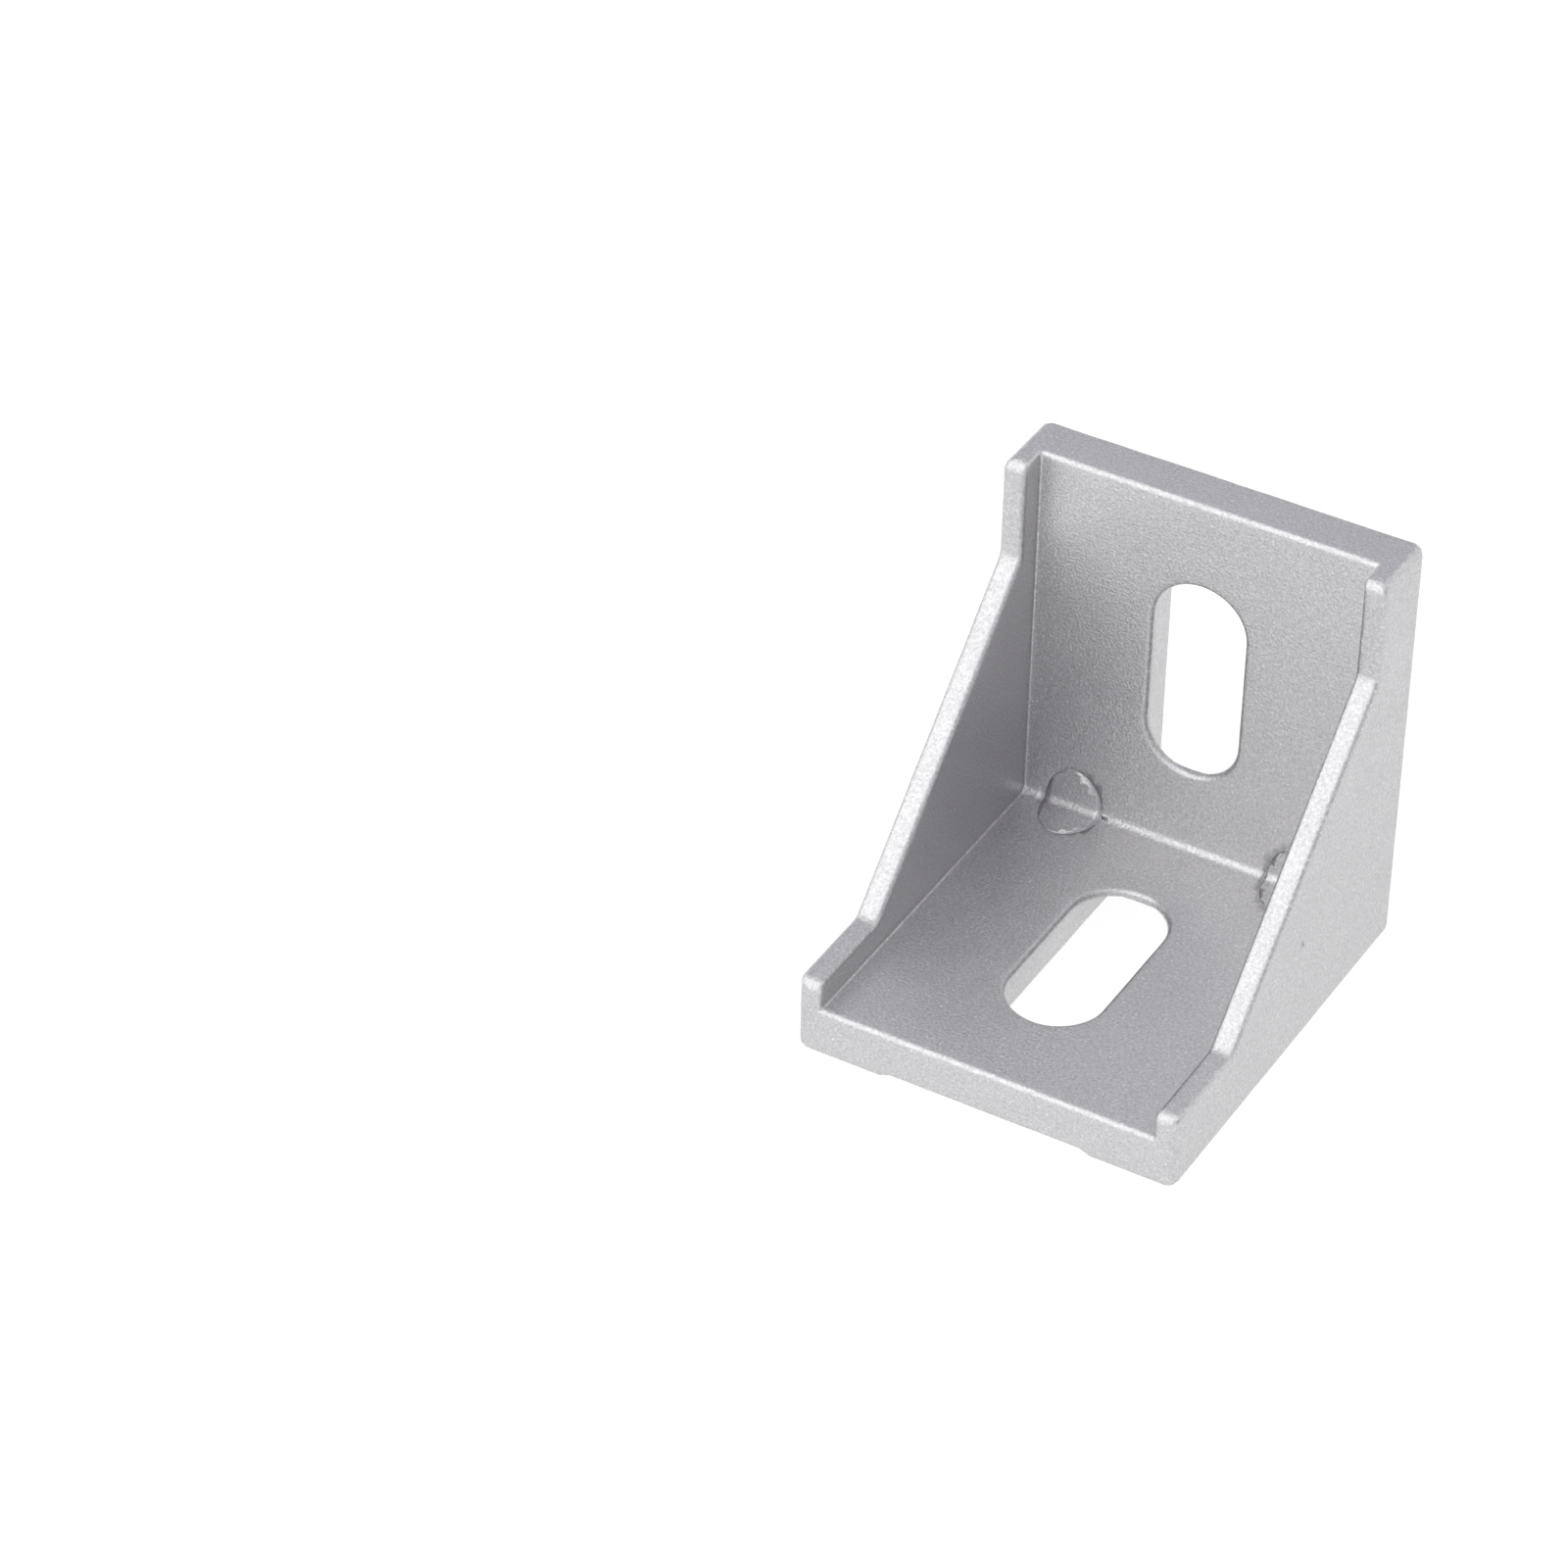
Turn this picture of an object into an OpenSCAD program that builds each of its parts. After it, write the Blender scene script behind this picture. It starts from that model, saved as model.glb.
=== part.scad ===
// Cast angle bracket: two equal legs at a right angle, stiffened by a thin rib along each side.
// Each leg has one slotted hole, round at the inner face and scooped towards the heel outside.
// Sizes are in millimetres. The bracket stands on its base leg, with its heel at the back.

/* [Legs] */
// Length of each leg, from the heel's outer faces to the free end
leg_length = 40; // [36:0.5:60]
// Width across both ribs
bracket_w = 35.4; // [28:0.1:50]
// Thickness of each leg
leg_t = 4.75; // [4:0.05:6]
// Rounding of the long outer edges, along the sides
edge_r = 0.9; // [0.3:0.1:1.2]
// Rounding of the heel
heel_r = 1.3; // [0.3:0.1:2]
// Rounding of each leg's two corners at its free end, seen square to the leg
corner_r = 1; // [0.3:0.1:1.6]
// Rounding across the free ends, on the outer side
end_r = 0.6; // [0.3:0.1:1]

/* [Ribs] */
// Thickness of each side rib
rib_t = 2.25; // [2:0.05:3]
// Height of the rim that the rib leaves above the leg's inner face, near the free end
rim_h = 2.6; // [1.5:0.1:5]
// Rounding across the tips of the rims
tip_r = 1; // [0.3:0.1:1.5]
// Length of the level rim, from the free end to the start of the slant
rim_l = 9.6; // [4:0.1:14]
// Rounding of the rib's top edges
rib_edge_r = 0.3; // [0.1:0.05:0.6]
// Fillet between the legs and the ribs, and in the inner corner
root_r = 0.5; // [0.2:0.1:1]

/* [Slots] */
// Width of the slot in its throat
slot_w = 8.5; // [5:0.1:11]
// Length of the slot from end to end
slot_l = 19.2; // [14:0.1:20]
// Distance from the heel's outer face to the middle of the slot
slot_mid = 22.15; // [21.5:0.05:24]
// Rounding of the slot's lip on the inner face
lip_r = 0.5; // [0.3:0.1:1.2]
// Depth of the straight throat below the lip
throat_l = 0.3; // [0.2:0.1:1]
// How much each slot wall opens out between the throat and the outer face
slot_draft = 0.3; // [0.1:0.05:0.6]
// Rounding of the slot's mouth on the outer face
mouth_r = 1; // [0.3:0.1:1.2]
// Distance from the heel's outer face to where the scoop starts
scoop_start = 6.3; // [5:0.1:8]

/* [Casting marks] */
// Width of the gate relief's floor, under the base leg's free end
gate_w = 17.6; // [8:0.1:20]
// Depth of the gate relief
gate_depth = 0.4; // [0.1:0.05:0.8]
// Length of the gate relief along the leg
gate_l = 3; // [1:0.1:4]
// Run of the gate relief's slanted sides
gate_run = 1; // [0.5:0.1:2]
// Diameter of the two ejector pins
pin_d = 5.6; // [3:0.1:7]
// Distance between the two ejector pins
pin_spacing = 21.3; // [12:0.1:24]
// How far the pins stood into the casting
pin_depth = 0.12; // [0.05:0.01:0.3]

/* [Hidden] */
$fn = 64;
metal = [0.74, 0.74, 0.75];
// How far a cutter reaches past the surface it cuts
clear = 1;

// Half of the inside width between the ribs
inner_half = bracket_w / 2 - rib_t;
// Height of the level rim above the leg's outer face
rim_top = leg_t + rim_h;
// Distance of the slanted band from the heel's outer edge, square to the band
band_n = (leg_length - rim_l + rim_top) / sqrt(2);
// Half width of the slot in its throat, and where it meets the mouth's rounding
slot_half = slot_w / 2;
mouth_half = slot_half + slot_draft;
// Half the distance between the centres of the slot's round ends
slot_reach = slot_l / 2 - slot_half;
// Heights of the throat's top and bottom above the outer face
throat_top = leg_t - lip_r;
throat_bottom = throat_top - throat_l;
// Where the throat's heel end lies, from the heel's outer face, and the centre of its round
slot_heel_end = slot_mid - slot_l / 2;
heel_centre = slot_heel_end + slot_half;

// The waste outside a rounded corner at the origin, whose corner points down and left.
module corner_waste(r) {
    difference() {
        translate([-clear, -clear]) square(clear + r);
        translate([r, r]) circle(r);
    }
}

// A rectangle with round corners, its lower left corner at the origin.
module soft_rect(w, h, r) {
    translate([r, 0]) square([w - 2 * r, h]);
    translate([0, r]) square([w, h - 2 * r]);
    for (x = [r, w - r], y = [r, h - r]) translate([x, y]) circle(r);
}

// Extrudes a (y, z) outline across the width, centred on the bracket's middle plane.
module across(w) {
    translate([-w / 2, 0, 0]) rotate([90, 0, 90]) linear_extrude(w) children();
}

// Extrudes an (x, z) outline along the base leg, from the heel towards the free end.
module along_base(l) {
    rotate([90, 0, 0]) linear_extrude(l) children();
}

// Repeats what is made for the base leg on the upright leg, by mirroring across the bracket's diagonal.
module both_legs() {
    children();
    mirror([0, 1, 1]) children();
}

// Section of one rib, its outer side against the bracket's side and its two top edges rounded.
module rib_section(h) {
    translate([inner_half, 0]) difference() {
        square([rib_t, h]);
        translate([0, h]) mirror([0, 1]) corner_waste(rib_edge_r);
        translate([rib_t, h]) rotate(180) corner_waste(rib_edge_r);
    }
}

// One rib: a level rim along each leg and the slanted web between them.
module rib() {
    both_legs() along_base(leg_length) rib_section(rim_top);
    intersection() {
        rotate([45, 0, 0]) rotate([90, 0, 0])
            linear_extrude(3 * leg_length, center = true) rib_section(band_n);
        translate([0, -leg_length, 0]) cube([bracket_w, leg_length, leg_length]);
    }
}

// The room between the ribs, with fillets where the legs and ribs meet.
module inner_room() {
    reach = leg_length + clear - leg_t;
    intersection() {
        across(bracket_w) translate([-leg_t, leg_t]) difference() {
            translate([-reach, 0]) square(reach);
            mirror([1, 0]) corner_waste(root_r);
        }
        translate([-inner_half, 0, leg_t]) along_base(leg_length + clear)
            soft_rect(2 * inner_half, leg_length + clear, root_r);
        translate([-inner_half, -leg_length - 2 * clear, 0]) linear_extrude(leg_length + clear)
            soft_rect(2 * inner_half, leg_length + 2 * clear - leg_t, root_r);
    }
}

// The two legs, thick enough to carry the fillets, with the inner room taken out.
module legs() {
    difference() {
        both_legs() translate([-bracket_w / 2, -leg_length, 0])
            cube([bracket_w, leg_length, leg_t + root_r]);
        inner_room();
    }
}

// The flare that rounds a slot's edge, running out into the face at y = 0.
module slot_flare(r) {
    difference() {
        translate([-slot_half / 2, -clear]) square([slot_half / 2 + r, clear + r]);
        translate([r, r]) circle(r);
    }
}

// Half of the slot's section near the inner face: the straight throat and its rounded lip.
module throat_section() {
    translate([0, throat_bottom]) square([slot_half, throat_l + lip_r + clear]);
    translate([slot_half, leg_t]) mirror([0, 1]) slot_flare(lip_r);
}

// Half of the slot's section near the outer face: the drafted wall and its rounded mouth.
module mouth_section() {
    polygon([
        [0, -clear],
        [mouth_half, -clear],
        [mouth_half, mouth_r],
        [slot_half, throat_bottom],
        [0, throat_bottom]
    ]);
    translate([mouth_half, 0]) slot_flare(mouth_r);
}

module both_sides() {
    children();
    mirror([1, 0]) children();
}

// Cuts the slot through the base leg: its throat is an oblong with two round ends.
module slot() {
    translate([0, -heel_centre, 0]) {
        rotate_extrude(angle = 180) throat_section();
        along_base(2 * slot_reach) both_sides() throat_section();
        translate([0, -2 * slot_reach, 0]) rotate([0, 0, 180]) rotate_extrude(angle = 180) {
            throat_section();
            mouth_section();
        }
    }
    scoop();
}

// The slot's mouth, which opens towards the heel with a sloping floor instead of a round end.
// Two dies that part along the bracket's diagonal leave this scoop, as a square wall would lock them.
module scoop() {
    slope = (slot_heel_end - scoop_start) / throat_bottom;
    reach = scoop_start - clear * slope;
    far_centre = heel_centre + 2 * slot_reach;
    intersection() {
        translate([0, -reach, 0]) along_base(far_centre - reach) both_sides() mouth_section();
        across(bracket_w) polygon([
            [-far_centre - clear, -2 * clear],
            [-scoop_start + 2 * clear * slope, -2 * clear],
            [-slot_heel_end - clear * slope, throat_bottom + clear],
            [-far_centre - clear, throat_bottom + clear]
        ]);
    }
}

// Thins the outer face at the base leg's free end, where the metal was broken off its gate.
module gate_relief() {
    top = gate_w / 2;
    foot = top + gate_run;
    lead = gate_run / gate_depth;
    intersection() {
        along_base(leg_length + clear) polygon([
            [-foot - clear * lead, -clear],
            [foot + clear * lead, -clear],
            [top, gate_depth],
            [-top, gate_depth]
        ]);
        across(bracket_w) polygon([
            [-leg_length - clear, -clear],
            [-leg_length + gate_l + clear * lead, -clear],
            [-leg_length + gate_l - gate_run, gate_depth],
            [-leg_length - clear, gate_depth]
        ]);
    }
}

// The mark of one ejector pin, which pushed the casting out along its diagonal.
module pin_mark(x) {
    intersection() {
        translate([x, -leg_t, leg_t]) rotate([45, 0, 0])
            cylinder(h = 2 * pin_d, r = pin_d / 2, center = true);
        translate([0, pin_depth, -pin_depth]) inner_room();
    }
}

// Rounds the heel, the free ends and the tips of the rims, all across the width.
module end_rounding() {
    across(bracket_w + 2 * clear) {
        mirror([1, 0]) corner_waste(heel_r);
        for (swap = [false, true]) mirror(swap ? [1, 1] : [0, 0]) {
            translate([-leg_length, 0]) corner_waste(end_r);
            translate([-leg_length, rim_top]) mirror([0, 1]) corner_waste(tip_r);
        }
    }
}

// Outline of one leg seen square to it, from the heel at the bottom to the free end.
module leg_outline() {
    difference() {
        translate([-bracket_w / 2, 0]) square([bracket_w, leg_length]);
        both_sides() {
            translate([-bracket_w / 2, 0]) corner_waste(edge_r);
            translate([-bracket_w / 2, leg_length]) mirror([0, 1]) corner_waste(corner_r);
        }
    }
}

// Everything inside this block keeps; its corners round the bracket's side edges.
module side_rounding() {
    intersection() {
        along_base(leg_length) leg_outline();
        mirror([0, 1, 1]) along_base(leg_length) leg_outline();
    }
}

module bracket() {
    color(metal) translate([0, leg_length / 2, 0]) difference() {
        intersection() {
            union() {
                legs();
                rib();
                mirror([1, 0, 0]) rib();
            }
            side_rounding();
        }
        end_rounding();
        both_legs() slot();
        gate_relief();
        for (side = [-1, 1]) pin_mark(side * pin_spacing / 2);
    }
}

bracket();
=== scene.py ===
# %% [markdown]
# # A cast angle bracket
# The real bracket is one aluminium die casting: two legs at a right angle, a thin rib along each side and
# a slotted hole in each leg. It was shot-blasted, so every face is an even, fine-grained grey and every
# edge is a little round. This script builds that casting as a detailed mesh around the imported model,
# gives it its blasted metal finish, and lights it as a small product on a white table.

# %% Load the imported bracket
import math
import bmesh
import bpy
from mathutils import Matrix, Quaternion, Vector, noise


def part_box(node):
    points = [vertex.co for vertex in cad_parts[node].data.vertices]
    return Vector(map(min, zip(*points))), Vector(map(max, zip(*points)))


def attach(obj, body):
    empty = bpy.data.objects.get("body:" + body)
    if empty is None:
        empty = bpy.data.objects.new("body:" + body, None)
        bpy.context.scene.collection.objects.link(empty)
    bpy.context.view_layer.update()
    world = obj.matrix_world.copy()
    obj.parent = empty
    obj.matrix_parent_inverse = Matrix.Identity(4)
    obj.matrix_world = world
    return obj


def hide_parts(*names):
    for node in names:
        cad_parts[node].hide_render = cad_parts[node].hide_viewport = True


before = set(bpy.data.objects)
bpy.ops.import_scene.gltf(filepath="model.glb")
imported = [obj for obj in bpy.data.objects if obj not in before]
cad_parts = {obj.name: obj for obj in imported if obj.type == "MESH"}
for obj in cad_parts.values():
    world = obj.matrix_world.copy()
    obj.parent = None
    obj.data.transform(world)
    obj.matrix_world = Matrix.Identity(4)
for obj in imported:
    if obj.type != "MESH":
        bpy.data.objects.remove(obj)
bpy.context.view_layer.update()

# %% [markdown]
# ## Sizes
# The casting is modelled in millimetres with its heel's outer edge on the X axis, because its sizes are
# all measured from there. The base leg runs towards -Y and the upright leg towards +Z. One transform at
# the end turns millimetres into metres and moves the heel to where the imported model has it.
#
# A rim is the level part of a rib, at a leg's free end. PAST is how far each cutting tool reaches out of
# the casting, so that no face of a tool lies in a face of the casting.

# %% Sizes of the casting, in millimetres
MM = 0.001
low, high = (Vector(corner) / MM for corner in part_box("bracket"))
WIDTH = high.x - low.x
LEG_LENGTH = high.z - low.z
LEG_T = 4.75
RIB_T = 2.25
RIM_HEIGHT = 2.6
RIM_TOP = LEG_T + RIM_HEIGHT
RIM_LENGTH = 9.6
INNER_HALF = WIDTH / 2 - RIB_T
PAST = 2.0
print(f"width {WIDTH:.2f} mm, legs {LEG_LENGTH:.2f} mm, {2 * INNER_HALF:.2f} mm between the ribs")

# %% [markdown]
# ## Helpers
# Every shape starts as a bmesh, Blender's editable mesh, and ends as an object in the scene. Points
# closer together than DOUBLE are one point, and TOUCH is how near a point has to be to count as lying on
# a plane.

# %% Helpers for meshes and objects
DOUBLE = 1e-4
TOUCH = 1e-3


def new_object(bm, name):
    """Hands a bmesh over as an object in the scene."""
    mesh = bpy.data.meshes.new(name)
    bm.to_mesh(mesh)
    bm.free()
    thing = bpy.data.objects.new(name, mesh)
    bpy.context.scene.collection.objects.link(thing)
    return thing


def closed_object(bm, name):
    """Merges doubles and turns the faces outwards before it hands a bmesh over."""
    bmesh.ops.remove_doubles(bm, verts=bm.verts, dist=DOUBLE)
    bmesh.ops.recalc_face_normals(bm, faces=bm.faces)
    return new_object(bm, name)


def open_mesh(thing):
    """An object's own mesh, as a bmesh."""
    bm = bmesh.new()
    bm.from_mesh(thing.data)
    return bm


def store_mesh(bm, thing):
    """Puts a bmesh back into its object."""
    bm.to_mesh(thing.data)
    bm.free()


print("mesh helpers ready")

# %% [markdown]
# ## Cuts
# A boolean cut gives the casting its hollows, as the die's cores do. Each tool is a small closed bmesh of
# its own. A leg's tool is also used on the other leg, mirrored across the bracket's diagonal. A cut can
# leave slivers, faces too thin to see, and they're merged at once, before they spoil the next step.

# %% Helpers for cuts
ACROSS_DIAGONAL = Matrix(((1, 0, 0, 0), (0, 0, -1, 0), (0, -1, 0, 0), (0, 0, 0, 1)))
SLIVER = 2e-3


def on_other_leg(tool):
    """A copy of a base-leg tool for the upright leg."""
    bm = open_mesh(tool)
    bmesh.ops.transform(bm, matrix=ACROSS_DIAGONAL, verts=bm.verts)
    return closed_object(bm, tool.name + "_upright")


def apply_modifiers(thing):
    """Gives an object the mesh that its modifiers make of it, and takes the modifiers off."""
    evaluated = thing.evaluated_get(bpy.context.evaluated_depsgraph_get())
    result = bpy.data.meshes.new_from_object(evaluated)
    thing.modifiers.clear()
    thing.data = result


def combine(target, tool, operation="DIFFERENCE"):
    """Applies an exact boolean to the target's own mesh, and uses the tool up."""
    cut = target.modifiers.new("cut", "BOOLEAN")
    cut.operation = operation
    cut.solver = "EXACT"
    cut.object = tool
    apply_modifiers(target)
    bpy.data.objects.remove(tool)
    bm = open_mesh(target)
    bmesh.ops.remove_doubles(bm, verts=bm.verts, dist=SLIVER)
    bmesh.ops.dissolve_degenerate(bm, edges=bm.edges, dist=SLIVER)
    store_mesh(bm, target)


print("cutting helpers ready")

# %% [markdown]
# ## The outline
# Seen from the side, the casting is an L whose corner is filled by the rib: level along each leg's end,
# then straight across at 45 degrees. It starts as that one face, extruded across the width. The two bends
# in the rib are rounded while they are still simple edges, because that is easier than after the cuts.

# %% Extrude the side outline across the width
BEND_R = 1.2
BEND = LEG_LENGTH - RIM_LENGTH
bends = [(-BEND, RIM_TOP), (-RIM_TOP, BEND)]
outline = [(0, 0), (-LEG_LENGTH, 0), (-LEG_LENGTH, RIM_TOP), *bends,
           (-RIM_TOP, LEG_LENGTH), (0, LEG_LENGTH)]

bm = bmesh.new()
side = bm.faces.new([bm.verts.new((-WIDTH / 2, y, z)) for y, z in outline])
pulled = bmesh.ops.extrude_face_region(bm, geom=[side])["geom"]
bmesh.ops.translate(bm, vec=(WIDTH, 0, 0), verts=[v for v in pulled if isinstance(v, bmesh.types.BMVert)])
for y, z in bends:
    bend = next(e for e in bm.edges
                if all(abs(v.co.y - y) < TOUCH and abs(v.co.z - z) < TOUCH for v in e.verts))
    offset = BEND_R * math.tan(bend.calc_face_angle() / 2)
    bmesh.ops.bevel(bm, geom=[bend], offset=offset, offset_type="OFFSET", segments=6, profile=0.5,
                    affect="EDGES", material=-1, clamp_overlap=False)
casting = closed_object(bm, "bracket_casting")
print("outline extruded:", len(casting.data.vertices), "vertices")

# %% [markdown]
# ## The room between the ribs
# One block-shaped core hollows the casting out to two legs and two thin ribs. Its lower edges are
# rounded, and they leave the fillets at the roots of the ribs and in the inner corner. The same core,
# grown a little, comes back later to limit the depth of the ejector pins' outlines.

# %% The core's shape
CORNER_ROOT_R = 0.7
RIB_ROOT_R = 0.18
CREASE = 1.0


def runs_along(edge, axis):
    """Whether an edge is parallel to an axis, given as 0, 1 or 2."""
    step = edge.verts[1].co - edge.verts[0].co
    return abs(step[axis]) > 0.99 * step.length


def on_far_side(edge, axis):
    """Whether an edge lies past the free ends, in Y or in Z."""
    return all(abs(v.co[axis]) > LEG_LENGTH for v in edge.verts)


def is_rib_root(edge, back, floor):
    """Whether an edge of the core runs along a rib's root: folded, on the floor or at the back."""
    on_floor = all(v.co.z < floor + CORNER_ROOT_R + TOUCH for v in edge.verts)
    at_back = all(v.co.y > back - CORNER_ROOT_R - TOUCH for v in edge.verts)
    if not (on_floor or at_back) or runs_along(edge, 0) or edge.calc_face_angle() <= CREASE:
        return False
    upright_outside = runs_along(edge, 2) and on_far_side(edge, 1)
    level_outside = runs_along(edge, 1) and on_far_side(edge, 2)
    return not upright_outside and not level_outside


def room_block(grow=0.0):
    """The core between the ribs, pushed into the legs by grow."""
    reach = LEG_LENGTH + PAST - LEG_T + grow
    back, floor = grow - LEG_T, LEG_T - grow
    bm = bmesh.new()
    bmesh.ops.create_cube(bm, size=1)
    bmesh.ops.scale(bm, vec=(2 * INNER_HALF, reach, reach), verts=bm.verts)
    bmesh.ops.translate(bm, vec=(0, back - reach / 2, floor + reach / 2), verts=bm.verts)
    corner = [e for e in bm.edges
              if all(v.co.z < floor + TOUCH and v.co.y > back - TOUCH for v in e.verts)]
    bmesh.ops.bevel(bm, geom=corner, offset=CORNER_ROOT_R, offset_type="OFFSET", segments=6, profile=0.5,
                    affect="EDGES", material=-1)
    roots = [e for e in bm.edges if is_rib_root(e, back, floor)]
    bmesh.ops.bevel(bm, geom=roots, offset=RIB_ROOT_R, offset_type="OFFSET", segments=5, profile=0.5,
                    affect="EDGES", material=-1)
    return closed_object(bm, "room_between_ribs")


print(f"roots: {CORNER_ROOT_R} mm in the corner, {RIB_ROOT_R} mm along the ribs")

# %% Cut the room between the ribs
combine(casting, room_block())
print("hollowed out:", len(casting.data.polygons), "faces")

# %% [markdown]
# ## The slotted holes
# Two die halves meet in each slot and part along the bracket's diagonal. At the inner face the slot is an
# oblong with a rounded lip, and its throat is straight for a short way. Outside it opens with draft to a
# rounded mouth, and instead of a round heel end it has a sloping scoop, which lets the core slide out.
#
# The throat and the mouth overlap a little. There the mouth stays a HAIR inside the throat's wall,
# because two walls in one plane can tear a cut open.

# %% Slot sizes and its two sections
SLOT_HALF = 4.25
SLOT_REACH = 5.35
SLOT_MIDDLE = 22.15
LIP_R = 0.5
MOUTH_R = 1.0
MOUTH_WIDENING = 0.3
MOUTH_HALF = SLOT_HALF + MOUTH_WIDENING
THROAT_LENGTH = 0.3
THROAT_BOTTOM = LEG_T - LIP_R - THROAT_LENGTH
OVERLAP = 0.2
HAIR = 0.001
SCOOP_START = 6.3
ARC_STEPS = 7
heel_centre = SLOT_MIDDLE - SLOT_REACH
far_centre = SLOT_MIDDLE + SLOT_REACH


def flare(wall, face, radius, outward):
    """Points of the quarter round that takes a slot's wall out into a face."""
    points = []
    for i in range(ARC_STEPS + 1):
        turn = math.pi / 2 * i / ARC_STEPS
        out = radius * (1 - math.cos(turn))
        back = radius * (1 - math.sin(turn))
        points.append((wall + out, face - outward * back))
    return points


throat_section = [(0, THROAT_BOTTOM), (SLOT_HALF, THROAT_BOTTOM), *flare(SLOT_HALF, LEG_T, LIP_R, 1),
                  (SLOT_HALF + LIP_R, LEG_T + PAST), (0, LEG_T + PAST)]
draft = (MOUTH_HALF - SLOT_HALF) / (THROAT_BOTTOM - MOUTH_R)
mouth_top = THROAT_BOTTOM + OVERLAP
mouth_section = [(0, mouth_top), (SLOT_HALF - draft * OVERLAP - HAIR, mouth_top),
                 *flare(MOUTH_HALF, 0, MOUTH_R, -1), (MOUTH_HALF + MOUTH_R, -PAST), (0, -PAST)]
print(f"slot: {2 * SLOT_HALF} mm wide, {2 * (SLOT_REACH + SLOT_HALF):.1f} mm long")

# %% [markdown]
# ## Sweeping a section
# Each slot tool is the sweep of one section: straight along one side of the slot, spun round its far end,
# and straight back. Each step takes the points and edges that the last one ended on, and carries them
# further.

# %% Helpers for sweeps
TURN_STEPS = 24


def start_section(bm, section, y):
    """Puts a section's points and edges on the +X side of the slot, at y."""
    verts = [bm.verts.new((x, y, z)) for x, z in section]
    return verts + [bm.edges.new(pair) for pair in zip(verts, verts[1:])]


def straight(bm, last, distance):
    """Carries the section on along Y."""
    open_edges = [g for g in last if isinstance(g, bmesh.types.BMEdge)]
    made = bmesh.ops.extrude_edge_only(bm, edges=open_edges)["geom"]
    verts = [g for g in made if isinstance(g, bmesh.types.BMVert)]
    bmesh.ops.translate(bm, vec=(0, distance, 0), verts=verts)
    return verts + [g for g in made
                    if isinstance(g, bmesh.types.BMEdge) and all(v in verts for v in g.verts)]


def half_turn(bm, last, y):
    """Carries the section on round a slot end's centre, clockwise from above."""
    return bmesh.ops.spin(bm, geom=last, cent=(0, y, 0), axis=(0, 0, 1), angle=-math.pi, steps=TURN_STEPS,
                          use_merge=False, use_duplicate=False)["geom_last"]


print("sweep helpers ready")

# %% Cut the slots' throats
bm = bmesh.new()
last = start_section(bm, throat_section, -heel_centre)
last = straight(bm, last, -2 * SLOT_REACH)
last = half_turn(bm, last, -far_centre)
last = straight(bm, last, 2 * SLOT_REACH)
half_turn(bm, last, -heel_centre)
throat = closed_object(bm, "slot_throat")
combine(casting, on_other_leg(throat))
combine(casting, throat)
print("throats cut:", len(casting.data.polygons), "faces")

# %% [markdown]
# ## The mouths and their scoops
# A mouth's tool runs on towards the heel, past where its scoop starts. One sloping plane cuts it off
# there, and the open end is filled again.

# %% Cut the slots' mouths and scoops
ON_PLANE = 1e-5
slope = (heel_centre - SLOT_HALF - SCOOP_START) / THROAT_BOTTOM
mouth_start = -SCOOP_START + 2 * PAST * slope
bm = bmesh.new()
last = start_section(bm, mouth_section, mouth_start)
last = straight(bm, last, -far_centre - mouth_start)
last = half_turn(bm, last, -far_centre)
straight(bm, last, far_centre + mouth_start)
bmesh.ops.remove_doubles(bm, verts=bm.verts, dist=DOUBLE)
bmesh.ops.bisect_plane(bm, geom=bm.verts[:] + bm.edges[:] + bm.faces[:], dist=ON_PLANE,
                       plane_co=(0, -SCOOP_START, 0), plane_no=(0, 1, slope), clear_outer=True)
bmesh.ops.holes_fill(bm, edges=[e for e in bm.edges if e.is_boundary])
mouth = closed_object(bm, "slot_mouth")
combine(casting, on_other_leg(mouth))
combine(casting, mouth)
print("slots cut:", len(casting.data.polygons), "faces")

# %% [markdown]
# ## The gate relief
# Under the base leg's free end a shallow relief keeps the stub of the gate, where the metal flowed in,
# off the mating face. Its tool is a cube that is wider and longer below the leg than in it, so that the
# relief runs out gently.

# %% Cut the gate relief
GATE_HALF = 8.8
GATE_DEPTH = 0.4
GATE_LENGTH = 3.0
GATE_RUN = 1.0
spread = GATE_RUN * (1 + PAST / GATE_DEPTH)
full_half = GATE_HALF + spread
bm = bmesh.new()
bmesh.ops.create_cube(bm, size=1)
bmesh.ops.scale(bm, vec=(2 * full_half, GATE_LENGTH + PAST, GATE_DEPTH + PAST), verts=bm.verts)
bmesh.ops.translate(bm, verts=bm.verts,
                    vec=(0, -LEG_LENGTH + (GATE_LENGTH - PAST) / 2, (GATE_DEPTH - PAST) / 2))
upper = [v for v in bm.verts if v.co.z > 0]
upper_inner = [v for v in upper if v.co.y > -LEG_LENGTH]
lower_inner = [v for v in bm.verts if v.co.z < 0 and v.co.y > -LEG_LENGTH]
bmesh.ops.scale(bm, vec=(GATE_HALF / full_half, 1, 1), verts=upper)
bmesh.ops.translate(bm, vec=(0, spread - GATE_RUN, 0), verts=lower_inner)
bmesh.ops.translate(bm, vec=(0, -GATE_RUN, 0), verts=upper_inner)
combine(casting, closed_object(bm, "gate_relief"))
print("gate relief cut:", len(casting.data.polygons), "faces")

# %% [markdown]
# ## Soft edges
# Blasting wears every edge of the casting round. The outer edges, where the two die halves met, are
# rounder than the ribs' thin edges. Each sharp edge gets a bevel weight, which is its own radius as a
# share of the heel's, the largest.

# %% Weigh the sharp edges
HEEL_R = 1.3
TIP_R = 1.0
CORNER_R = 1.0
LONG_EDGE_R = 0.9
END_R = 0.6
INNER_EDGE_R = 0.5
NEAR = 0.01
SHARP = math.radians(50)


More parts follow.
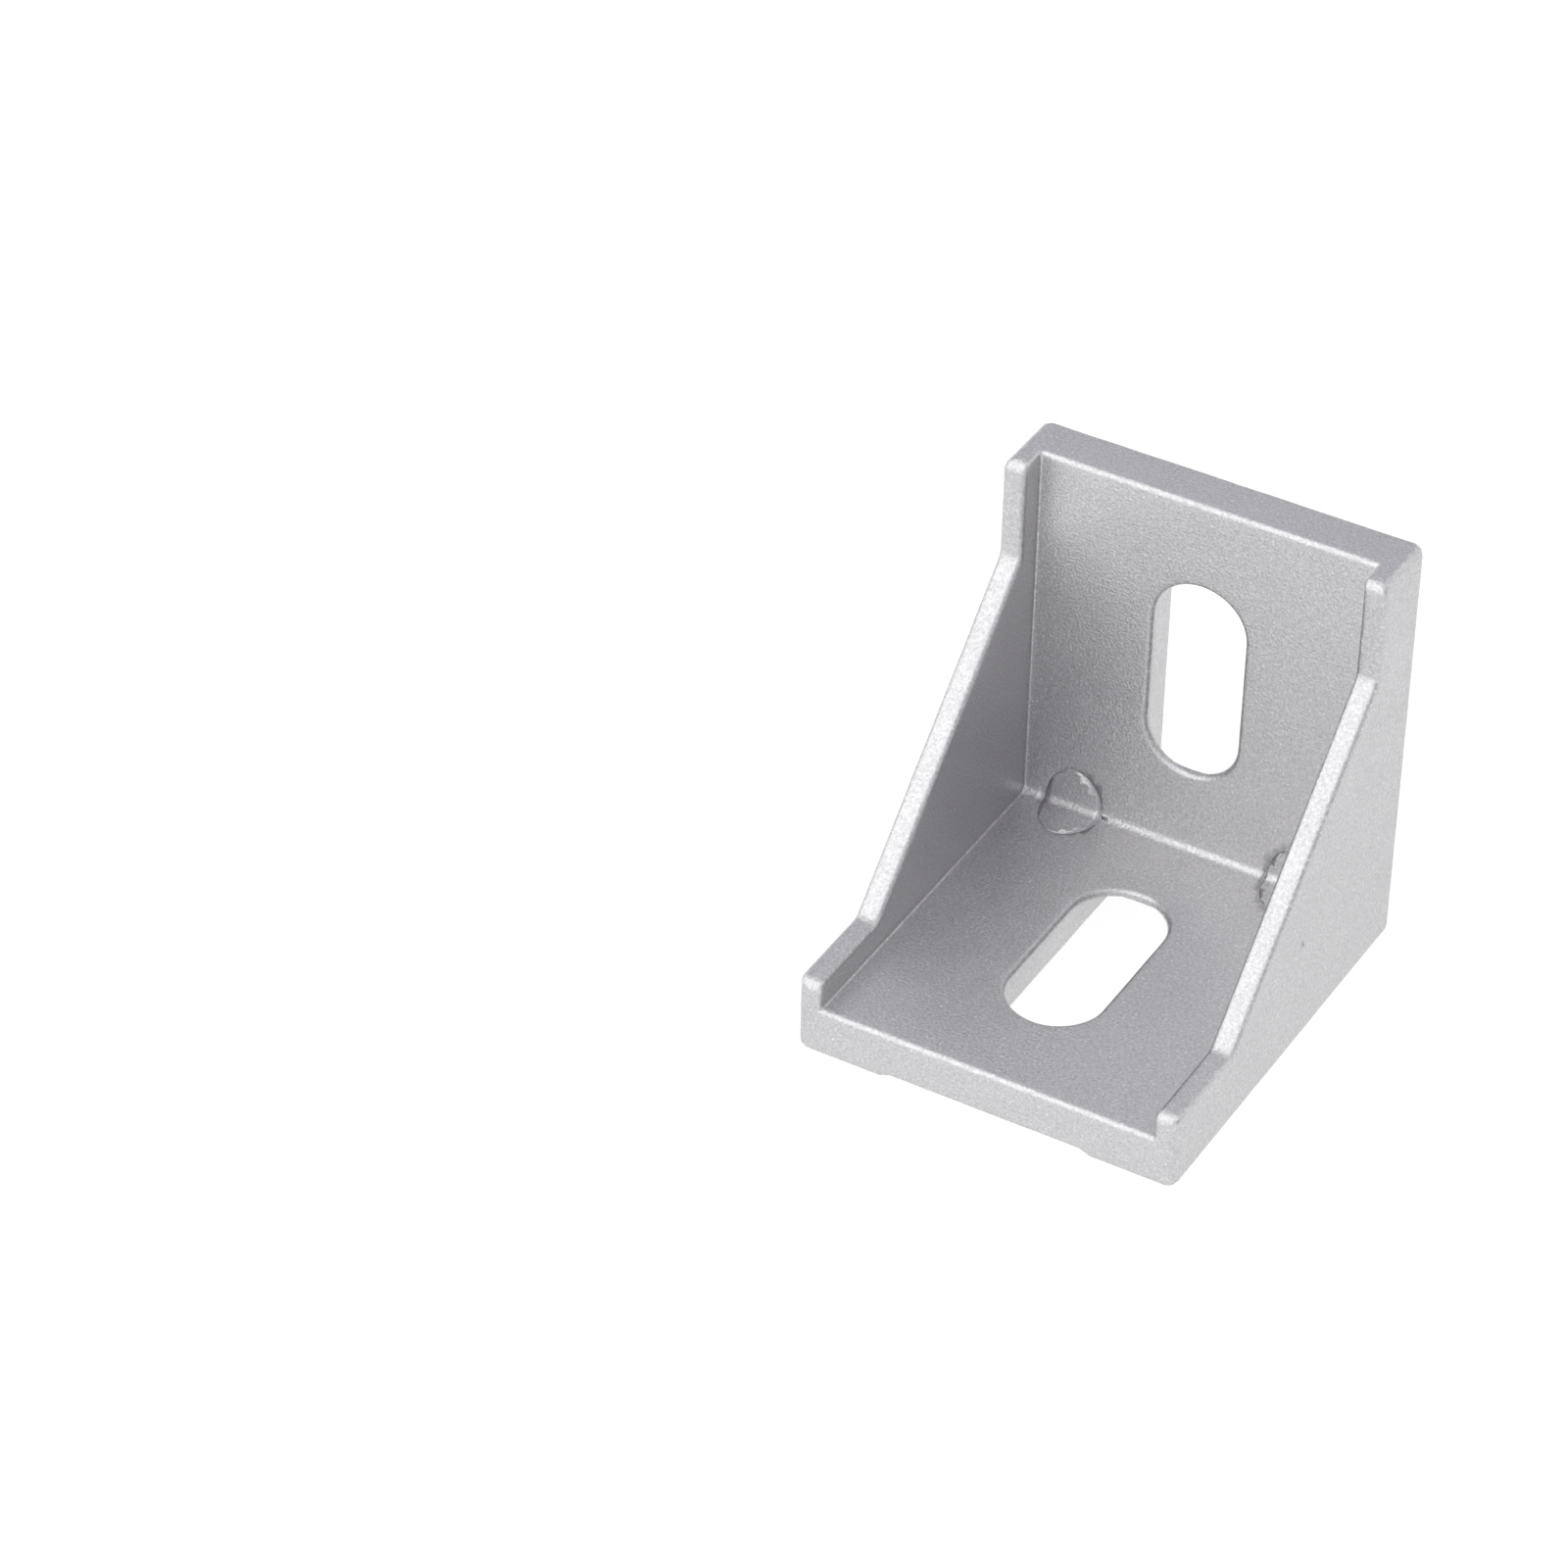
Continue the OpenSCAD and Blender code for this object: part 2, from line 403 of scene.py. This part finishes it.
def edge_radius(point):
    """How round the casting is at a sharp edge, told by where the middle of the edge lies."""
    from_outside = min(-point.y, point.z)
    at_free_end = max(-point.y, point.z) > LEG_LENGTH - NEAR
    if abs(point.x) > WIDTH / 2 - NEAR:
        if at_free_end:
            return CORNER_R
        return LONG_EDGE_R if from_outside < NEAR else INNER_EDGE_R
    if max(-point.y, point.z) < NEAR:
        return HEEL_R
    if at_free_end and from_outside < GATE_DEPTH + NEAR:
        return END_R
    if at_free_end and from_outside > RIM_TOP - NEAR:
        return TIP_R
    return INNER_EDGE_R if at_free_end or abs(point.x) > INNER_HALF - NEAR else 0


bm = open_mesh(casting)
bmesh.ops.remove_doubles(bm, verts=bm.verts, dist=DOUBLE)
bmesh.ops.dissolve_degenerate(bm, edges=bm.edges, dist=DOUBLE)
weight = bm.edges.layers.float.new("bevel_weight_edge")
sharp_edges = [e for e in bm.edges if e.calc_face_angle() >= SHARP]
for edge in sharp_edges:
    edge[weight] = edge_radius((edge.verts[0].co + edge.verts[1].co) / 2) / HEEL_R
print(len(sharp_edges), "sharp edges weighed")
store_mesh(bm, casting)

# %% Round the edges by their weights
soft = casting.modifiers.new("soft_edges", "BEVEL")
soft.limit_method = "WEIGHT"
soft.width = HEEL_R
soft.segments = 4
soft.profile = 0.5
soft.use_clamp_overlap = False
soft.material = -1
apply_modifiers(casting)
print("edges rounded:", len(casting.data.polygons), "faces")

# %% [markdown]
# ## The skin of the casting
# No cast face is quite flat: the metal shrinks as it sets, and blasting dents it. A grid of cuts gives
# the large faces points to move, and a smooth noise sinks each point a few hundredths of a millimetre. It
# only sinks them, so the casting never grows past its true size.
#
# A cut that passes a point within SNAP goes through that point, so it leaves no sliver beside it. A face
# with more than four corners is split into triangles, because it is no longer flat once its points have
# moved.

# %% Cut the faces into a grid and sink its points unevenly
CELL = 0.8
FIRST_CUT = 0.37
SNAP = 0.05
WAVE = 0.05
WAVE_LENGTH = 3.0


def split_large_faces(bm):
    """Splits every face with more than four corners into triangles."""
    bmesh.ops.triangulate(bm, faces=[f for f in bm.faces if len(f.verts) > 4])


bm = open_mesh(casting)
for axis, (start, stop) in enumerate([(-WIDTH / 2, WIDTH / 2), (-LEG_LENGTH, 0), (0, LEG_LENGTH)]):
    normal = Vector([float(i == axis) for i in range(3)])
    for i in range(int((stop - start) / CELL)):
        bmesh.ops.bisect_plane(bm, geom=bm.verts[:] + bm.edges[:] + bm.faces[:], dist=SNAP,
                               plane_co=normal * (start + (i + FIRST_CUT) * CELL), plane_no=normal)
bm.normal_update()
for vert in bm.verts:
    swell = max(-1, min(1, noise.noise(vert.co / WAVE_LENGTH)))
    vert.co -= vert.normal * WAVE * (0.5 + 0.5 * swell)
split_large_faces(bm)
store_mesh(bm, casting)
print("skin:", len(casting.data.polygons), "faces")

# %% [markdown]
# ## Small marks
# Two ejector pins pushed the casting out of the die along its diagonal, and left the outline of their
# ends in the inner corner. A bubble of gas broke open on the right side face. These marks are hardly
# deeper than the skin is uneven, so they are cut into the finished skin, and each outline fades where the
# skin lies low.
#
# Each outline's tool is a thin tube along the diagonal, kept only where it dips into the legs by
# RING_DEPTH.

# %% Cut the outlines of the ejector pins
PIN_R = 2.8
PIN_SPACING = 21.3
RING_DEPTH = 0.052
RING_WIDTH = 0.1


def pin_rod(x, radius, length=4 * PIN_R):
    """A rod about as thick as the pin, through the inner corner along the bracket's diagonal."""
    bm = bmesh.new()
    bmesh.ops.create_cone(bm, cap_ends=True, segments=64, radius1=radius, radius2=radius, depth=length)
    bmesh.ops.rotate(bm, cent=(0, 0, 0), matrix=Matrix.Rotation(math.radians(45), 3, "X"), verts=bm.verts)
    bmesh.ops.translate(bm, vec=(x, -LEG_T, LEG_T), verts=bm.verts)
    return closed_object(bm, "ejector_pin")


for x in (-PIN_SPACING / 2, PIN_SPACING / 2):
    ring = pin_rod(x, PIN_R + RING_WIDTH / 2)
    combine(ring, pin_rod(x, PIN_R - RING_WIDTH / 2, 5 * PIN_R))
    combine(ring, room_block(RING_DEPTH), "INTERSECT")
    combine(casting, ring)
print("pin outlines cut:", len(casting.data.polygons), "faces")

# %% Cut the pit
PIT_R = 0.16
PIT_SUNK = 0.12
PIT_PLACE = (WIDTH / 2 - PIT_SUNK, -18.2, 10.76)
PIT_STRETCH = (1, 0.9, 1.8)
bm = bmesh.new()
bmesh.ops.create_icosphere(bm, subdivisions=2, radius=PIT_R)
bmesh.ops.scale(bm, vec=PIT_STRETCH, verts=bm.verts)
bmesh.ops.translate(bm, vec=PIT_PLACE, verts=bm.verts)
combine(casting, closed_object(bm, "pit"))
print("pit cut:", len(casting.data.polygons), "faces")

# %% [markdown]
# ## The finished casting
# Smooth shading blends the light from face to face. The Weighted Normal modifier lets the large faces
# decide the blend, so they stay flat and only the rounded edges turn. Then the casting stands in for the
# imported solid and rides on the same body.

# %% Shade the casting smoothly and turn it into metres
FLAT_WEIGHT = 60
bm = open_mesh(casting)
split_large_faces(bm)
for face in bm.faces:
    face.smooth = True
to_packed_place = Matrix.Scale(MM, 4) @ Matrix.Translation((0, LEG_LENGTH / 2, 0))
bmesh.ops.transform(bm, matrix=to_packed_place, verts=bm.verts)
store_mesh(bm, casting)
even = casting.modifiers.new("flat_faces_stay_flat", "WEIGHTED_NORMAL")
even.weight = FLAT_WEIGHT
print("casting finished:", len(casting.data.polygons), "faces")

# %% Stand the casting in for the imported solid
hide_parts("bracket")
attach(casting, "root")
print(casting.name, "replaces the packed bracket")

# %% [markdown]
# ## Helpers for materials
# A material is a tree of nodes. Each helper adds one node and feeds its inputs: a socket of another node
# is linked, and a plain number or colour is set. It gives back the node's output, ready to feed the next
# one.

# %% Helpers for nodes
def feed(tree, socket, value):
    """Links an input to another node's output, or sets it to a constant."""
    if isinstance(value, bpy.types.NodeSocket):
        tree.links.new(value, socket)
    else:
        socket.default_value = value


def mix_colours(tree, factor, first, second):
    """Mixes two colours: the first at factor 0, the second at 1."""
    mix = tree.nodes.new("ShaderNodeMix")
    mix.data_type = "RGBA"
    for name, value in (("Factor", factor), ("A", first), ("B", second)):
        feed(tree, mix.inputs[name], value)
    return mix.outputs["Result"]


def spread_over(tree, value, low_in, high_in, low_out=0.0, high_out=1.0):
    """Maps a value from one range to another, and stops it at the ends."""
    ranged = tree.nodes.new("ShaderNodeMapRange")
    ranged.inputs["From Min"].default_value = low_in
    ranged.inputs["From Max"].default_value = high_in
    ranged.inputs["To Min"].default_value = low_out
    ranged.inputs["To Max"].default_value = high_out
    feed(tree, ranged.inputs["Value"], value)
    return ranged.outputs["Result"]


def calculate(tree, operation, first, second):
    """One step of arithmetic on two values."""
    maths = tree.nodes.new("ShaderNodeMath")
    maths.operation = operation
    for socket, value in zip(maths.inputs, (first, second)):
        feed(tree, socket, value)
    return maths.outputs["Value"]


def new_material(name):
    """A material, its node tree and its shader."""
    material = bpy.data.materials.new(name)
    material.use_nodes = True
    return material, material.node_tree, material.node_tree.nodes["Principled BSDF"]


print("node helpers ready")

# %% [markdown]
# ## Blasted aluminium
# A blasted casting is bare metal, but each grain of the blast left a tiny dent that throws the light
# another way. So the metal is rough and its brightness varies from grain to grain. Here and there a grain
# is also painted near white, a painted glint that stands in for a grain catching the light. Both noises
# lie on object coordinates, which are in metres, so their scales count grains and patches a metre. Most
# of a noise's values lie between USUAL_LOW and USUAL_HIGH.

# %% The metal and its two noises
GRAIN = 4200.0
PATCHES = 220.0
metal, tree, shader = new_material("blasted_aluminium")
shader.inputs["Metallic"].default_value = 1.0
place = tree.nodes.new("ShaderNodeTexCoord")


def noise_texture(scale, detail, roughness):
    """The value of a noise texture on object coordinates."""
    texture = tree.nodes.new("ShaderNodeTexNoise")
    texture.inputs["Scale"].default_value = scale
    texture.inputs["Detail"].default_value = detail
    texture.inputs["Roughness"].default_value = roughness
    tree.links.new(place.outputs["Object"], texture.inputs["Vector"])
    return texture.outputs["Fac"]


USUAL_LOW, USUAL_HIGH = 0.3, 0.7
grain = noise_texture(GRAIN, detail=3.0, roughness=0.6)
patches = noise_texture(PATCHES, detail=3.0, roughness=0.55)
print(f"noises: {GRAIN:.0f} grains and {PATCHES:.0f} patches a metre")

# %% Its colour, grain by grain
DARK_GRAIN = (0.49, 0.485, 0.495, 1)
LIGHT_GRAIN = (0.707, 0.70, 0.713, 1)
# Painted glint: a near-white colour for the highest grain values, standing in for grains that catch the
# light.
PAINTED_GLINT = (0.96, 0.95, 0.965, 1)
PAINTED_GLINT_FROM, PAINTED_GLINT_FULL = 0.64, 0.76
tone = mix_colours(tree, spread_over(tree, grain, USUAL_LOW, USUAL_HIGH), DARK_GRAIN, LIGHT_GRAIN)
# Mixes in the painted glints: the highest grains turn near white whatever the lamp does.
colour = mix_colours(tree, spread_over(tree, grain, PAINTED_GLINT_FROM, PAINTED_GLINT_FULL), tone, PAINTED_GLINT)
feed(tree, shader.inputs["Base Color"], colour)
print("grains mixed from", DARK_GRAIN[:3], "to", LIGHT_GRAIN[:3])

# %% Its roughness and its dents
SMOOTHEST, ROUGHEST = 0.33, 0.41
DENT_DEPTH = 0.00006
uneven = spread_over(tree, patches, USUAL_LOW, USUAL_HIGH, SMOOTHEST, ROUGHEST)
feed(tree, shader.inputs["Roughness"], uneven)
dents = tree.nodes.new("ShaderNodeBump")
dents.inputs["Strength"].default_value = 1.0
dents.inputs["Distance"].default_value = DENT_DEPTH
feed(tree, dents.inputs["Height"], grain)
feed(tree, shader.inputs["Normal"], dents.outputs["Normal"])
casting.data.materials.clear()
casting.data.materials.append(metal)
print(f"roughness {SMOOTHEST} to {ROUGHEST}, dents up to {DENT_DEPTH / MM} mm deep")

# %% [markdown]
# ## Table and surroundings
# The bracket stands on a white table in a white room. Rough metal shows its surroundings, so most of its
# shading comes from what each face looks at. The table glows a little for camera and glossy rays, so the
# picture and the metal see it as white, and it still takes the shadow. The room is exactly white where it
# is seen, and a little brighter where it only gives light.

# %% Helpers for the staging
def seen_by(tree, *kinds):
    """1 for a ray of one of these kinds, and 0 for any other ray."""
    ray = tree.nodes.new("ShaderNodeLightPath")
    seen = ray.outputs[kinds[0]]
    for kind in kinds[1:]:
        seen = calculate(tree, "MAXIMUM", seen, ray.outputs[kind])
    return seen


def matt_material(name, colour):
    """A plain matt material of one colour."""
    material, tree, shader = new_material(name)
    shader.inputs["Base Color"].default_value = (*colour, 1)
    shader.inputs["Roughness"].default_value = 0.9
    return material


def square_sheet(name, size, matrix, material):
    """A flat square of one material, moved by a matrix."""
    bm = bmesh.new()
    bmesh.ops.create_grid(bm, x_segments=1, y_segments=1, size=size / 2)
    bmesh.ops.transform(bm, matrix=matrix, verts=bm.verts)
    sheet = new_object(bm, name)
    sheet.data.materials.append(material)
    return sheet


print("staging helpers ready")

# %% The white table
TABLE_SIZE = 6.0
TABLE_GLOW = 1.16
GLOW_SHARE = 0.8
paper = matt_material("white_paper", (0.8, 0.8, 0.8))
tree = paper.node_tree
glow = tree.nodes.new("ShaderNodeEmission")
glow.inputs["Strength"].default_value = TABLE_GLOW
share = calculate(tree, "MULTIPLY", seen_by(tree, "Is Camera Ray", "Is Glossy Ray"), GLOW_SHARE)
mixed = tree.nodes.new("ShaderNodeMixShader")
matt = tree.nodes["Principled BSDF"].outputs["BSDF"]
for socket, value in zip(mixed.inputs, (share, matt, glow.outputs["Emission"])):
    feed(tree, socket, value)
feed(tree, tree.nodes["Material Output"].inputs["Surface"], mixed.outputs["Shader"])
table = square_sheet("white_table", TABLE_SIZE, Matrix.Identity(4), paper)
print(f"table: {TABLE_SIZE} m square")

# %% The white surroundings
ROOM_LIGHT = 1.15
ROOM_SEEN = 1.0
world = bpy.data.worlds.new("studio")
bpy.context.scene.world = world
world.use_nodes = True
tree = world.node_tree
room = tree.nodes["Background"]
room.inputs["Color"].default_value = (1, 1, 1, 1)
seen = seen_by(tree, "Is Camera Ray", "Is Glossy Ray", "Is Transmission Ray")
feed(tree, room.inputs["Strength"], spread_over(tree, seen, 0.0, 1.0, ROOM_LIGHT, ROOM_SEEN))
print(f"room: {ROOM_SEEN} where it is seen, {ROOM_LIGHT} as a light")

# %% [markdown]
# ## Two grey cards
# Metal in an all-white room looks flat. A card behind the bracket, above the picture, gives the faces
# that look up and back something darker. Another stands where a photographer would, and darkens the ribs'
# inner faces. The cards and the lamp all face AIM, a point in the bracket, and their places are
# directions and distances from there.

# %% Hang the grey cards
AIM = Vector((0, 0, 0.015))
felt = matt_material("grey_felt", (0.69, 0.69, 0.73))


def hang_card(name, direction, distance, size):
    """A square felt card that faces the bracket from a direction."""
    toward_card = Vector(direction).normalized()
    facing = (-toward_card).to_track_quat("Z", "Y").to_matrix().to_4x4()
    card = square_sheet(name, size, Matrix.Translation(AIM + toward_card * distance) @ facing, felt)


hang_card("card_behind", (-0.39, 0.69, 0.61), distance=0.45, size=0.6)
hang_card("card_in_front", (0.65, -0.45, 0.45), distance=0.7, size=0.9)
print("two grey cards hung")

# %% [markdown]
# ## The lamp
# One large square lamp stands on the left of the camera. It is wider than it is far away, so its light is
# soft. It brightens the faces and the rounded edges that look towards it.

# %% Hang the lamp
LAMP_DISTANCE = 0.7
toward_lamp = Vector((-0.40, -0.70, 0.59)).normalized()
light = bpy.data.lights.new("key_lamp", "AREA")
light.size = 1.15
light.energy = 2.7
lamp = bpy.data.objects.new("key_lamp", light)
bpy.context.scene.collection.objects.link(lamp)
lamp.location = AIM + toward_lamp * LAMP_DISTANCE
lamp.rotation_mode = "QUATERNION"
lamp.rotation_quaternion = (AIM - lamp.location).to_track_quat("-Z", "Y")
print(f"lamp: {light.size:.2f} m wide, {light.energy:.1f} W")

# %% [markdown]
# ## The camera
# It looks at the bracket from the photograph's own angle, found from the straight edges in it. The target
# lies beside the bracket, which puts the bracket in the right part of the picture.

# %% Place the camera
AZIMUTH, ELEVATION, ROLL = (math.radians(a) for a in (29.64, 37.24, 1.155))
TARGET = Vector((-36.45, 10.16, 0.33)) * MM
DISTANCE = 528 * MM
toward_camera = Vector((math.sin(AZIMUTH) * math.cos(ELEVATION), -math.cos(AZIMUTH) * math.cos(ELEVATION),
                        math.sin(ELEVATION)))
camera_data = bpy.data.cameras.new("camera")
camera_data.sensor_width = 36
camera_data.lens = 138.25
camera = bpy.data.objects.new("camera", camera_data)
bpy.context.scene.collection.objects.link(camera)
camera.location = TARGET + toward_camera * DISTANCE
camera.rotation_mode = "QUATERNION"
camera.rotation_quaternion = (-toward_camera).to_track_quat("-Z", "Y") @ Quaternion((0, 0, 1), ROLL)
bpy.context.scene.camera = camera
bpy.context.scene.view_settings.view_transform = "Standard"
print(f"camera: {DISTANCE:.3f} m away, {camera_data.lens:.2f} mm lens")
